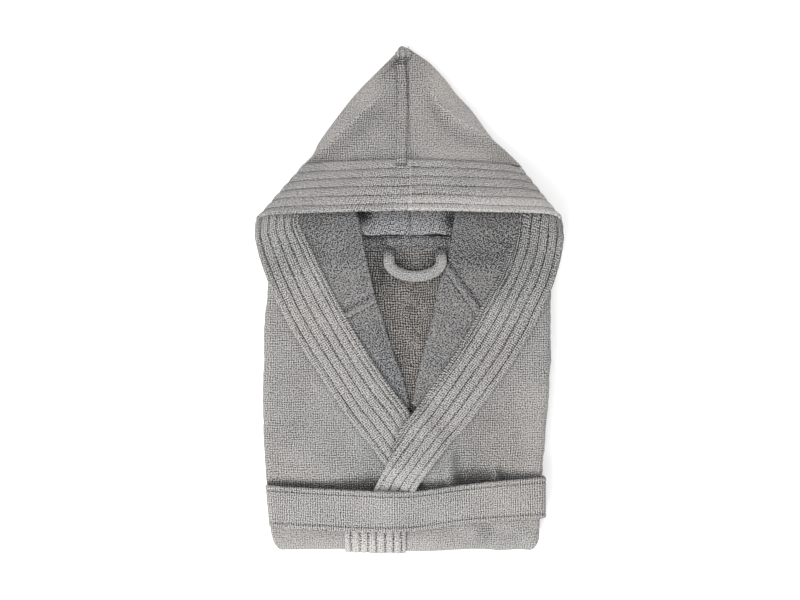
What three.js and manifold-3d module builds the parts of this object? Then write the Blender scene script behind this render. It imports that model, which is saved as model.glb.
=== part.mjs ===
// A hooded terry bathrobe, folded for the shelf: body folded in three plies, hood spread flat above it,
// shawl lapels turned out over the chest, and the belt wrapped once round the pack.
// Millimetres. X runs across the pack, Y from the hem fold up to the hood's peak, Z up from the table.
import * as THREE from "three";
import { mergeVertices } from "three/addons/utils/BufferGeometryUtils.js";
import Module from "manifold-3d";

const wasm = await Module();
wasm.setup();

// ---------- driving dimensions ----------
const GAP = 0.4; // left between neighbouring layers of cloth
const SKIN = 3.2; // one layer of terry velour
const BAND = 5; // quilted band on the lapels
const PLACKET = 4; // the same band pressed flat along the front edge
const STRAP = 4.4; // belt, two layers
const OVERHEAD = 500; // larger than the object, for cutting tools
const CLEAR = 10; // how far a cutting tool runs past what it cuts

const PACK_LEFT = -182; // widest sides of the folded body
const PACK_RIGHT = 174;
const FOLD_Y = -312.6; // outside of the fold at the bottom end
const SHOULDER_Y = 72; // where the top ply ends
const BACK_FOLD_Y = 78; // outside of the fold at the top end
const TOP_Z = 46; // upper face of the top ply
const BASE_Z = 4.4; // lower face of the bottom ply
const WAIST_LIFT = 4.8; // the bottom end rides up on the belt
const LIFT_FROM_Y = -185; // the rise begins here
const LIFT_TO_Y = -215; // and is complete here
const TOP_FOLD_R = 11.3; // fold between the bottom and middle plies
const MIDDLE_END_Y = -272; // hem, tucked inside
const BACK_THICK = 7.2; // back panel with its turned-in sides
const END_DROP = 18; // the side walls step down this far before the bottom end
const END_WALL_Z = 33; // and are this high there

const BAND_EDGE_X = -81; // free edge of the overlapping front, below the belt
const BAND_WIDTH = 74;
const PLACKET_FROM_Y = -284; // on the top the pressed band starts here, under the belt
const PLACKET_TO_Y = 60; // and underneath it ends here, short of the fold

const BELT_Y = -283; // lower edge of the belt
const BELT_WIDTH = 57;
const BELT_LEFT = -176; // inside of the wrapped belt
const BELT_RIGHT = 165;
const BELT_CROWN = 58; // inside height over the crossed lapels

const HOOD_START_Y = 82;
const MOUTH_Y = 108; // free edge of the hood's upper layer
const HOOD_BAND_Y = 172; // seam between the hood's band and its panels
const HOOD_MIDDLE_X = -2; // centre seam
const HOOD_SKIN = 3.4;

// ---------- materials ----------
const cloth = (color, roughness) => new THREE.MeshStandardMaterial({ color, roughness, metalness: 0 });
const velour = cloth(0xa9a6a3, 0.95);
const quilted = cloth(0xadaaa7, 0.92);
const terry = cloth(0x8f8f90, 1);
const webbing = cloth(0xb3b1b0, 0.9);

// ---------- solids ----------
// A closed geometry as a manifold solid.
function solid(geometry) {
  geometry.deleteAttribute("normal");
  geometry.deleteAttribute("uv");
  const merged = mergeVertices(geometry, 1e-3);
  return new wasm.Manifold(
    new wasm.Mesh({
      numProp: 3,
      vertProperties: merged.attributes.position.array,
      triVerts: new Uint32Array(merged.index.array),
    }),
  );
}

// A named mesh from a manifold solid.
function piece(name, shape, material) {
  const { vertProperties, triVerts } = shape.getMesh();
  const geometry = new THREE.BufferGeometry()
    .setAttribute("position", new THREE.BufferAttribute(vertProperties, 3))
    .setIndex(new THREE.BufferAttribute(triVerts, 1));
  geometry.computeVertexNormals();
  const mesh = new THREE.Mesh(geometry, material);
  mesh.name = name;
  return mesh;
}

const vectors = (points) => points.map(([x, y]) => new THREE.Vector2(x, y));
const outline = (points) => new THREE.Shape(vectors(points));
const EXTRUSION = { bevelEnabled: false, curveSegments: 6 };

// A plan outline between two heights.
function plate(shape, low, high) {
  const geometry = new THREE.ExtrudeGeometry(shape, { ...EXTRUSION, depth: high - low });
  return solid(geometry.translate(0, 0, low));
}

// A side profile, drawn as (y, z), between two x positions.
function acrossX(shape, from, to) {
  const geometry = new THREE.ExtrudeGeometry(shape, { ...EXTRUSION, depth: to - from });
  const turn = new THREE.Matrix4().makeBasis(
    new THREE.Vector3(0, 1, 0),
    new THREE.Vector3(0, 0, 1),
    new THREE.Vector3(1, 0, 0),
  );
  return solid(geometry.applyMatrix4(turn).translate(from, 0, 0));
}

// An end profile, drawn as (x, z), between two y positions.
function alongY(shape, from, to) {
  const geometry = new THREE.ExtrudeGeometry(shape, { ...EXTRUSION, depth: to - from });
  const turn = new THREE.Matrix4().makeBasis(
    new THREE.Vector3(1, 0, 0),
    new THREE.Vector3(0, 0, 1),
    new THREE.Vector3(0, -1, 0),
  );
  return solid(geometry.applyMatrix4(turn).translate(0, to, 0));
}

// A closed skin over rings of points, each ring in the same order, with a flat cap at both ends.
function loft(rings) {
  const count = rings[0].length;
  const points = rings.flat();
  const faces = [];
  for (let i = 0; i + 1 < rings.length; i++) {
    for (let j = 0; j < count; j++) {
      const a = i * count + j;
      const b = i * count + ((j + 1) % count);
      faces.push(a, b, b + count, a, b + count, a + count);
    }
  }
  const last = points.length - count;
  for (let j = 1; j + 1 < count; j++) {
    faces.push(0, j + 1, j);
    faces.push(last, last + j, last + j + 1);
  }
  const geometry = new THREE.BufferGeometry().setFromPoints(points);
  geometry.setIndex(faces);
  const made = solid(geometry);
  return made.volume() > 0 ? made : solid(flipped(geometry));
}

function flipped(geometry) {
  const index = geometry.index.array;
  for (let i = 0; i < index.length; i += 3) [index[i + 1], index[i + 2]] = [index[i + 2], index[i + 1]];
  return geometry;
}

// A sloping strip of cloth. Each station is [y, x of one edge, x of the other, height of its upper face].
function strip(stations, thickness) {
  const ring = ([y, a, b, z]) => [
    new THREE.Vector3(a, y, z),
    new THREE.Vector3(b, y, z),
    new THREE.Vector3(b, y, z - thickness),
    new THREE.Vector3(a, y, z - thickness),
  ];
  return loft(stations.map(ring));
}

// ---------- the folded body ----------
// The outside of the folded cloth, seen from the side: top ply, bottom end, bottom ply, top end, middle ply.
function rollPath() {
  const waistZ = BASE_Z + WAIST_LIFT;
  const bottomR = (TOP_Z - waistZ) / 2;
  const arc = (cy, cz, r, from, to, steps) =>
    Array.from({ length: steps + 1 }, (_, i) => {
      const a = THREE.MathUtils.degToRad(from + ((to - from) * i) / steps);
      return [cy + r * Math.cos(a), cz + r * Math.sin(a)];
    });
  const middleZ = BASE_Z + 2 * TOP_FOLD_R;
  return [
    [SHOULDER_Y, TOP_Z],
    ...arc(FOLD_Y + bottomR, waistZ + bottomR, bottomR, 90, 270, 10),
    [LIFT_TO_Y, waistZ],
    [LIFT_FROM_Y, BASE_Z],
    ...arc(BACK_FOLD_Y - TOP_FOLD_R, BASE_Z + TOP_FOLD_R, TOP_FOLD_R, -90, 90, 8),
    [LIFT_FROM_Y, middleZ],
    [LIFT_TO_Y, middleZ + WAIST_LIFT],
    [MIDDLE_END_Y, middleZ + WAIST_LIFT],
  ];
}

// The path moved inwards by a depth, to its left-hand side as it runs.
function inset(path, depth) {
  const points = vectors(path);
  return points.map((p, i) => {
    const before = points[Math.max(i - 1, 0)];
    const after = points[Math.min(i + 1, points.length - 1)];
    const a = p.clone().sub(before).normalize();
    const b = after.clone().sub(p).normalize();
    const along = a.add(b).normalize();
    return [p.x - along.y * depth, p.y + along.x * depth];
  });
}

// One layer of the fold, between two depths below its outside.
function layer(from, to, start = 0) {
  const path = rollPath().slice(start);
  return outline([...inset(path, from), ...inset(path, to).reverse()]);
}

// The pack in plan, drawn in by a margin at the sides.
function packPlan(margin) {
  const left = PACK_LEFT + margin;
  const right = PACK_RIGHT - margin;
  return outline([
    [left + 4, BACK_FOLD_Y + 1],
    [left, 20],
    [left, -130],
    [left + 7, LIFT_TO_Y],
    [left + 9, -285],
    [left + 14, FOLD_Y + 6],
    [left + 26, FOLD_Y - 1],
    [right - 30, FOLD_Y - 1],
    [right - 17, FOLD_Y + 6],
    [right - 12, -285],
    [right - 9.5, LIFT_TO_Y],
    [right, -90],
    [right, 20],
    [right - 4, BACK_FOLD_Y + 1],
  ]);
}

// Inner edges of the lapels, where the fronts are rolled outwards, from the neck down to their crossing.
const ROLL_LEFT = [
  [-64, 108],
  [-49, 23],
  [-31, -26],
  [-13, -84],
  [-3, -135],
];
const ROLL_RIGHT = [
  [3, -129],
  [8, -97],
  [20, -41],
  [33, 4],
  [46, 38],
  [57, 108],
];
// Front edge of the overlapping front, from the crossing to where it runs straight down.
const OVERLAP = [
  [-25, -201],
  [-51, -239],
  [BAND_EDGE_X, -285],
];

function fronts() {
  const wholePlan = plate(packPlan(0), 0, TOP_Z + 1);
  const skin = acrossX(layer(0, SKIN), -OVERHEAD, OVERHEAD).intersect(wholePlan);
  const rim = wholePlan.subtract(plate(packPlan(SKIN), -CLEAR, TOP_Z + CLEAR));
  const middleTop = BASE_Z + 2 * TOP_FOLD_R + GAP;
  const wallTop = outline([
    [SHOULDER_Y, TOP_Z],
    [FOLD_Y + END_DROP, TOP_Z],
    [FOLD_Y + END_DROP, END_WALL_Z],
    [LIFT_TO_Y, middleTop + WAIST_LIFT],
    [LIFT_FROM_Y, middleTop],
    [SHOULDER_Y, middleTop],
  ]);
  const walls = acrossX(layer(0, SKIN + GAP + BACK_THICK), -OVERHEAD, OVERHEAD)
    .add(acrossX(wallTop, -OVERHEAD, OVERHEAD))
    .intersect(rim);
  const whole = skin.add(walls);
  const upper = TOP_Z - 2 * SKIN;
  const farCorners = [
    [BAND_EDGE_X, -OVERHEAD],
    [-OVERHEAD, -OVERHEAD],
    [-OVERHEAD, MOUTH_Y],
  ];
  const leftPlan = [...ROLL_LEFT, ...OVERLAP, ...farCorners];
  const lower = outline([
    [BAND_EDGE_X, -OVERHEAD],
    [BAND_EDGE_X, OVERHEAD],
    [-OVERHEAD, OVERHEAD],
    [-OVERHEAD, -OVERHEAD],
  ]);
  const leftZone = plate(outline(leftPlan), upper, TOP_Z + CLEAR).add(plate(lower, -CLEAR, upper));
  const widened = leftZone.translate([GAP, 0, 0]).add(leftZone);
  const neck = plate(outline([...ROLL_LEFT, ...ROLL_RIGHT]), upper, TOP_Z + CLEAR);
  return {
    left: whole.intersect(leftZone),
    right: whole.subtract(widened).subtract(neck),
  };
}

function backPanel() {
  const depth = SKIN + GAP;
  return acrossX(layer(depth, depth + BACK_THICK), -OVERHEAD, OVERHEAD).intersect(
    plate(packPlan(depth), 0, TOP_Z),
  );
}

// A rectangle in plan with rounded corners.
function rounded(x0, x1, y0, y1, r) {
  const shape = new THREE.Shape();
  shape.moveTo(x0 + r, y0);
  shape.absarc(x1 - r, y0 + r, r, -Math.PI / 2, 0);
  shape.absarc(x1 - r, y1 - r, r, 0, Math.PI / 2);
  shape.absarc(x0 + r, y1 - r, r, Math.PI / 2, Math.PI);
  shape.absarc(x0 + r, y0 + r, r, Math.PI, 1.5 * Math.PI);
  return shape;
}

// The same on one side of the pack. side is -1 or 1, near and far count from the pack's middle.
const PACK_MIDDLE = (PACK_LEFT + PACK_RIGHT) / 2;
function beside(side, near, far, y0, y1, r) {
  const a = PACK_MIDDLE + side * near;
  const b = PACK_MIDDLE + side * far;
  return rounded(Math.min(a, b), Math.max(a, b), y0, y1, r);
}

// Sleeves folded down behind the back panel, with their turned-back cuffs.
const SLEEVE = {
  low: BASE_Z + 2 * TOP_FOLD_R + 0.6,
  high: TOP_Z - SKIN - BACK_THICK - 2 * GAP,
  near: 27,
  width: 130,
  top: 58,
  corner: 8,
};
const CUFF = { seam: -128, end: -182, wider: 2, corner: 6 };

function sleeve(side) {
  const { near, width, top, corner } = SLEEVE;
  return plate(beside(side, near, near + width, CUFF.seam + GAP, top, corner), SLEEVE.low, SLEEVE.high);
}

function cuff(side) {
  const near = SLEEVE.near - CUFF.wider;
  const far = SLEEVE.near + SLEEVE.width + CUFF.wider;
  return plate(beside(side, near, far, CUFF.end, CUFF.seam, CUFF.corner), SLEEVE.low, SLEEVE.high);
}

// Loops at the side seams that carry the belt when the robe is worn.
const CARRIER = { near: 10, far: 18, from: -110, to: -40, corner: 3, lift: 1, thick: 3 };

function beltLoop(side) {
  const { near, far, from, to, corner, lift, thick } = CARRIER;
  return plate(beside(side, near, far, from, to, corner), SLEEVE.low + lift, SLEEVE.low + lift + thick);
}

// Patch pockets lie on the fronts, so they end up under the pack. The mouth faces the bottom end.
const POCKET = { near: 90, far: 168, mouth: -152, hem: -115, foot: 48, thick: 4, corner: 5 };

function pocketPlate(side, y0, y1) {
  const high = BASE_Z - GAP;
  return plate(beside(side, POCKET.near, POCKET.far, y0, y1, POCKET.corner), high - POCKET.thick, high);
}

// ---------- lapels ----------
const LAPEL_Z = TOP_Z + GAP + BAND; // upper face where a lapel lies on the front
const CROSS_Z = LAPEL_Z + BAND + 0.6; // upper face where one lapel lies on the other

// Stations: y, roll edge, band seam, free edge, height.
const LEFT_LAPEL = [
  [70, -56, -123, -190, LAPEL_Z],
  [38, -52, -105, -181.5, LAPEL_Z],
  [4, -43.5, -88, -167, LAPEL_Z],
  [-26, -31, -69, -151, LAPEL_Z],
  [-60, -22, -51, -131.5, LAPEL_Z],
  [-93, -11, -32, -111, LAPEL_Z],
  [-125, -4, -10, -87.5, LAPEL_Z],
];
const LEFT_UNDERLAP = [[-190, 25, -42, LAPEL_Z]];
const RIGHT_LAPEL = [
  [70, 51, 127, 192, LAPEL_Z],
  [38, 46, 116, 186, LAPEL_Z],
  [4, 32.6, 97, 172, LAPEL_Z],
  [-26, 24, 82, 157.8, LAPEL_Z + 1.1],
  [-60, 16, 63, 141, LAPEL_Z + 2.6],
  [-93, 9, 37, 119, LAPEL_Z + 4.2],
  [-122, 4, 13, 97, CROSS_Z],
];
// Below the facing the band is rolled out alone, then turns straight down under the belt.
const RIGHT_TAIL = [
  [-137, -2, 86, CROSS_Z],
  [-178, -14, 49, CROSS_Z],
  [-201, -25, 29.5, CROSS_Z],
  [-220, -37, 17.5, CROSS_Z - 1],
  [-240, -52, 0, CROSS_Z - 2.6],
  [-262, -70, -6, CROSS_Z - 5],
  [-290, BAND_EDGE_X, BAND_EDGE_X + BAND_WIDTH, TOP_Z + GAP + PLACKET],
];

const facing = (lapel, side) =>
  strip(
    lapel.map(([y, roll, seam, , z]) => [y, roll, seam - side * GAP, z]),
    BAND,
  );

function bandLeft() {
  const stations = LEFT_LAPEL.map(([y, , seam, edge, z]) => [y, seam, edge, z]);
  return strip([...stations, ...LEFT_UNDERLAP], BAND);
}

// The overlapping band runs on down the front, round the bottom end and back under the pack.
function bandRight() {
  const lapel = strip(
    [...RIGHT_LAPEL.map(([y, , seam, edge, z]) => [y, seam, edge, z]), ...RIGHT_TAIL.slice(0, -1)],
    BAND,
  );
  const turn = strip(RIGHT_TAIL.slice(-2), PLACKET);
  const zone = outline([
    [PLACKET_FROM_Y, BASE_Z + WAIST_LIFT],
    [PLACKET_FROM_Y, TOP_Z + CLEAR],
    [-OVERHEAD, TOP_Z + CLEAR],
    [-OVERHEAD, -CLEAR],
    [PLACKET_TO_Y, -CLEAR],
    [PLACKET_TO_Y, BASE_Z],
    [LIFT_FROM_Y, BASE_Z],
    [LIFT_TO_Y, BASE_Z + WAIST_LIFT],
  ]);
  const straight = acrossX(layer(-GAP - PLACKET, -GAP), BAND_EDGE_X, BAND_EDGE_X + BAND_WIDTH).intersect(
    acrossX(zone, -OVERHEAD, OVERHEAD),
  );
  return lapel.add(turn).add(straight);
}

// Felled strip that covers the back neck seam.
const NECK = { left: -55, right: 49, from: 61, to: 75, corner: 2 };

const neckStrip = () =>
  plate(rounded(NECK.left, NECK.right, NECK.from, NECK.to, NECK.corner), TOP_Z - SKIN, TOP_Z);

// ---------- hanging loop ----------
// A U of tape in plan, sewn at both ends under the neck strip.
const HANGER = { left: -33, right: 45.5, top: 60, bend: 47, width: 12, lift: 0.6, thick: 2.8 };

function hangingLoop() {
  const { left, right, top, bend, width, lift, thick } = HANGER;
  const shape = new THREE.Shape();
  const middle = (left + right) / 2;
  const outer = (right - left) / 2;
  const squeeze = 0.65; // the bend is shallower than a half circle
  shape.moveTo(left, top);
  shape.lineTo(left, bend);
  shape.absellipse(middle, bend, outer, outer * squeeze, Math.PI, 2 * Math.PI);
  shape.lineTo(right, top);
  shape.lineTo(right - width, top);
  shape.lineTo(right - width, bend);
  shape.absellipse(middle, bend, outer - width, (outer - width) * squeeze, 2 * Math.PI, Math.PI, true);
  shape.lineTo(left + width, top);
  return plate(shape, TOP_Z + lift, TOP_Z + lift + thick);
}

// ---------- belt ----------
function belt() {
  const side = TOP_Z + 0.8; // inside height at the pack's sides
  const rise = side + 4; // and where it starts to climb over the lapels
  const corner = 0.6; // the belt is flatter over the side corners
  const ring = (grow) => [
    [BELT_LEFT - grow, STRAP - grow],
    [BELT_RIGHT + grow, STRAP - grow],
    [BELT_RIGHT + grow, side + grow * corner],
    [90, rise + grow],
    [14, BELT_CROWN + grow],
    [-52, BELT_CROWN + grow],
    [-110, rise + grow],
    [BELT_LEFT - grow, side + grow * corner],
  ];
  const shape = outline(ring(STRAP));
  shape.holes.push(new THREE.Path(vectors(ring(0))));
  return alongY(shape, BELT_Y, BELT_Y + BELT_WIDTH);
}

// ---------- hood ----------
// Stations: y, left and right silhouette, lowest and highest point.
const HOOD = [
  [70, -192.5, 192.5, 36, 59],
  [92, -192.5, 192.5, 33, 61],
  [108, -183, 183, 27, 61],
  [127, -168, 170, 19, 57],
  [157, -144, 150, 7, 47.5],
  [177, -124, 128, 2, 41],
  [197, -113, 108, 0, 36],
  [227, -92, 84, 0, 30],
  [277, -48, 44, 0, 20],
  [307, -17, 12, 0, 12],
  [317, -9, -3, 1, 8],
];
const HOOD_SIDES = 24;

// The hood as a flattened tube, drawn in by a margin all round.
function hoodTube(margin) {
  const ring = ([y, left, right, low, high], i) => {
    const end = i === HOOD.length - 1 ? margin : 0;
    return Array.from({ length: HOOD_SIDES }, (_, k) => {
      const a = (2 * Math.PI * k) / HOOD_SIDES;
      const halfWidth = Math.max((right - left) / 2 - margin, 0.5);
      const halfHeight = Math.max((high - low) / 2 - margin, 0.5);
      return new THREE.Vector3(
        (left + right) / 2 + halfWidth * Math.cos(a),
        y - end,
        (low + high) / 2 + halfHeight * Math.sin(a),
      );
    });
  };
  return loft(HOOD.map(ring));
}

// Below the mouth only the lower layer runs on, down to the neck seam.
const MOUTH = [
  [0, -OVERHEAD],
  [HOOD_START_Y, -OVERHEAD],
  [HOOD_START_Y, 44],
  [90, 46],
  [MOUTH_Y, 52],
  [MOUTH_Y, OVERHEAD],
  [0, OVERHEAD],
];

// The part of the hood's upper layer that is the quilted band.
function bandZone(gap) {
  const from = HOOD_START_Y - CLEAR;
  const to = HOOD_BAND_Y + gap;
  const under = outline([
    [from, 45 - gap],
    [MOUTH_Y, 44 - gap],
    [to, 23 - gap],
    [to, OVERHEAD],
    [from, OVERHEAD],
  ]);
  return acrossX(under, -OVERHEAD, OVERHEAD);
}

// Everything on one side of the hood's centre seam.
function hoodHalf(side) {
  const seam = HOOD_MIDDLE_X + (side * GAP) / 2;
  const far = HOOD_MIDDLE_X + side * OVERHEAD;
  const plan = outline([
    [seam, -OVERHEAD],
    [far, -OVERHEAD],
    [far, OVERHEAD],
    [seam, OVERHEAD],
  ]);
  return plate(plan, -OVERHEAD, OVERHEAD);
}

function hoodPieces() {
  const shell = hoodTube(0).subtract(hoodTube(HOOD_SKIN));
  const cut = shell.subtract(acrossX(outline(MOUTH), -OVERHEAD, OVERHEAD));
  const band = cut.intersect(bandZone(0));
  const panels = cut.subtract(bandZone(GAP));
  return {
    bandLeft: band.intersect(hoodHalf(-1)),
    bandRight: band.intersect(hoodHalf(1)),
    panelLeft: panels.intersect(hoodHalf(-1)),
    panelRight: panels.intersect(hoodHalf(1)),
  };
}

// Felled strip over the hood's centre seam, from the band to the peak.
const SEAM_STRIP = { left: -16, right: -3, proud: 2.4, thick: 2, end: 310 };

function seamStrip() {
  const { left, right, proud, thick, end } = SEAM_STRIP;
  const stations = HOOD.filter(([y]) => y > HOOD_BAND_Y && y < end);
  const raised = stations.map(([y, , , , high]) => [y, left, right, high + proud]);
  return strip(raised, thick).subtract(hoodTube(-GAP));
}

// ---------- assembly ----------
const robe = new THREE.Group();
const { left: frontLeft, right: frontRight } = fronts();
robe.add(piece("front_panel_left", frontLeft, velour));
robe.add(piece("front_panel_right", frontRight, velour));
robe.add(piece("back_panel", backPanel(), terry));
for (const [side, word] of [
  [-1, "left"],
  [1, "right"],
]) {
  robe.add(piece("sleeve_" + word, sleeve(side), velour));
  robe.add(piece("sleeve_cuff_" + word, cuff(side), quilted));
  robe.add(piece("belt_loop_" + word, beltLoop(side), webbing));
  robe.add(piece("pocket_" + word, pocketPlate(side, POCKET.hem, POCKET.foot), velour));
  robe.add(piece("pocket_band_" + word, pocketPlate(side, POCKET.mouth, POCKET.hem - GAP), quilted));
}
robe.add(piece("lapel_facing_left", facing(LEFT_LAPEL, -1), terry));
robe.add(piece("lapel_facing_right", facing(RIGHT_LAPEL, 1), terry));
robe.add(piece("collar_band_left", bandLeft(), quilted));
robe.add(piece("collar_band_right", bandRight(), quilted));
robe.add(piece("neck_strip", neckStrip(), webbing));
robe.add(piece("hanging_loop", hangingLoop(), webbing));
robe.add(piece("belt", belt(), webbing));

const hood = hoodPieces();
robe.add(piece("hood_panel_left", hood.panelLeft, velour));
robe.add(piece("hood_panel_right", hood.panelRight, velour));
robe.add(piece("hood_band_left", hood.bandLeft, quilted));
robe.add(piece("hood_band_right", hood.bandRight, quilted));
robe.add(piece("hood_seam_strip", seamStrip(), webbing));

export default robe;
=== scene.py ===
"""A folded hooded bathrobe: the cloth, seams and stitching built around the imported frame.

Helpers work in millimetres in the frame's own axes: X across the pack, Y from the hem fold up to the
hood's peak, Z up. Meshes are written in metres. Left and right are as seen from above, hood upwards.
In a piece of cloth, s is a distance along it or along the fold of the body, and a is one across it.
"""

import bpy
import numpy as np
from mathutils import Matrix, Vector


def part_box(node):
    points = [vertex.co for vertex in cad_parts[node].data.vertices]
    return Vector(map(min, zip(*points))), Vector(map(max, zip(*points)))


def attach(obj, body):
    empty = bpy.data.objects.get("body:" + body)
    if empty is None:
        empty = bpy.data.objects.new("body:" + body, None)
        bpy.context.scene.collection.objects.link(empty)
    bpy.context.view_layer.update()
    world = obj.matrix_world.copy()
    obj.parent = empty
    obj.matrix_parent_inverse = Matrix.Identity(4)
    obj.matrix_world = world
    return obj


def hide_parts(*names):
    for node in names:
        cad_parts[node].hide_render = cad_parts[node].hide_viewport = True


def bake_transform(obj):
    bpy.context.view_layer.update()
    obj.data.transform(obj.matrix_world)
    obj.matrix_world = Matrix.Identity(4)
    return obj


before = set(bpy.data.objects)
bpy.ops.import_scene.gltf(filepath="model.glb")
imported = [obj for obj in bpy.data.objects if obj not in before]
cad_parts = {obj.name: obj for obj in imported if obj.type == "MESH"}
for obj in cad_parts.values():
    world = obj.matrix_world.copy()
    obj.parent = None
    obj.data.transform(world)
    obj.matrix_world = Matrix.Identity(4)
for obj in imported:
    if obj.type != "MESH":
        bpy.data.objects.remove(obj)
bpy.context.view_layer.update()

MM = 0.001


def node_box(*names):
    """The lowest and highest corner of some CAD nodes together, in millimetres."""
    corners = np.array([[list(c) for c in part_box(n)] for n in names]) / MM
    return corners[:, 0].min(0), corners[:, 1].max(0)


# ---------- sizes ----------
PACK_LOW, PACK_HIGH = node_box("front_panel_left", "front_panel_right")
BELT_LOW, BELT_HIGH = node_box("belt")
LOOP_LOW, LOOP_HIGH = node_box("hanging_loop")
STRIP_LOW, STRIP_HIGH = node_box("neck_strip")

PLY = 10.8  # front and back of the skirt together
TOP_PLY = 18.4  # the same with the sleeves folded in between
SKIN = 3.2  # one layer of cloth
BAND = 5.0  # quilted band
BAND_WIDTH = 66.0
RIGHT_WIDTH = 64.0  # the right band as it lies
ROWS = (8.5, 20.0, 31.5, 43.0, 54.0)  # stitched rows, from the band's free edge
TOP_Z = PACK_HIGH[2]
BASE_Z = PACK_LOW[2]


# ---------- curves and relief ----------
def spline(points, samples=24):
    """Points along a smooth curve through the given ones."""
    p = np.array(points, float)
    p = np.vstack([2 * p[0] - p[1], p, 2 * p[-1] - p[-2]])
    t = np.linspace(0, 1, samples, endpoint=False)[:, None]
    parts = []
    for a, b, c, d in zip(p, p[1:], p[2:], p[3:]):
        bend = (2 * a - 5 * b + 4 * c - d) * t**2 + (3 * b - a - 3 * c + d) * t**3
        parts.append(0.5 * (2 * b + (c - a) * t + bend))
    return np.vstack([*parts, p[-2:-1]])


def arc(centre, radius, start, stop, count):
    """Points along an arc, with its angles in degrees."""
    turn = np.radians(np.linspace(start, stop, count))
    return np.column_stack([centre[0] + radius * np.cos(turn), centre[1] + radius * np.sin(turn)])


class Curve:
    """A curve that can be read at any distance along it."""

    def __init__(self, points, smooth=True):
        self.points = spline(points) if smooth else np.array(points, float)
        steps = np.linalg.norm(np.diff(self.points, axis=0), axis=1)
        self.distance = np.concatenate([[0], np.cumsum(steps)])
        self.length = self.distance[-1]

    def at(self, s):
        columns = [np.interp(s, self.distance, self.points[:, k]) for k in range(self.points.shape[1])]
        return np.stack(columns, -1)


def table(knots):
    """A smooth function through (x, value) pairs, in the order of x."""
    p = spline(knots)

    def read(x):
        return np.interp(x, p[:, 0], p[:, 1])

    return read


def ramp(value, start, end):
    """0 up to start, 1 from end on, and a smooth rise between them."""
    x = np.clip((value - start) / (end - start), 0, 1)
    return x * x * (3 - 2 * x)


def bump(d, width):
    """1 where d is 0, and close to 0 two widths away."""
    return np.exp(-((d / width) ** 2))


def ripple(x, y, size, seed):
    """Soft random relief between about -1 and 1, with features of the given size."""
    rng = np.random.default_rng(seed)
    total = 0
    for _ in range(9):
        angle, phase = rng.uniform(0, 2 * np.pi, 2)
        wave = 2 * np.pi / (size * rng.uniform(0.7, 1.7))
        total = total + np.sin((x * np.cos(angle) + y * np.sin(angle)) * wave + phase)
    return total / 4.5


def steps(length, step, edge=0.0):
    """Distances from 0 to length, about a step apart, and closer together in the rounded edges."""
    if not edge:
        return np.linspace(0, length, max(2, round(length / step) + 1))
    inner = np.linspace(edge, length - edge, max(2, round((length - 2 * edge) / step) + 1))
    turn = edge * (1 - np.cos(np.linspace(0, np.pi / 2, 6)[:-1]))
    return np.concatenate([turn, inner, (length - turn)[::-1]])


def rounding(d, radius):
    """The share of full thickness at a distance from a rounded edge."""
    return np.sqrt(np.clip(1 - (1 - np.clip(d / radius, 0, 1)) ** 2, 0, 1))


def round_ends(d, length, radius):
    """The same at a distance d along a length that is rounded at both ends."""
    return rounding(np.minimum(d, length - d), radius)


def beside(x, y, start, end):
    """The distance of a point to the left of the line from start to end."""
    line = np.array(end, float) - np.array(start, float)
    line /= np.linalg.norm(line)
    return (x - start[0]) * -line[1] + (y - start[1]) * line[0]


def add_object(name, data):
    """A new object in the scene."""
    thing = bpy.data.objects.new(name, data)
    bpy.context.scene.collection.objects.link(thing)
    return thing


def cloth_piece(name, verts, faces, grain, seam, material):
    """A smooth piece that knows each point's place on the flat cloth and how dark it is there."""
    mesh = bpy.data.meshes.new(name)
    mesh.from_pydata((verts * MM).tolist(), [], faces)
    flat = np.column_stack([grain * MM, np.zeros(len(verts))])
    mesh.attributes.new("grain", "FLOAT_VECTOR", "POINT").data.foreach_set("vector", flat.ravel())
    mesh.attributes.new("seam", "FLOAT", "POINT").data.foreach_set("value", seam)
    mesh.shade_smooth()
    mesh.materials.append(material)
    return add_object(name, mesh)


def normals(mid, wrap=False):
    """The direction that each point of a surface faces."""
    across = np.gradient(mid, axis=1)
    if wrap:
        across[:, 0] = across[:, -1] = (mid[:, 1] - mid[:, -2]) / 2
    normal = np.cross(across, np.gradient(mid, axis=0))
    return normal / np.maximum(np.linalg.norm(normal, axis=-1, keepdims=True), 1e-9)


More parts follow.
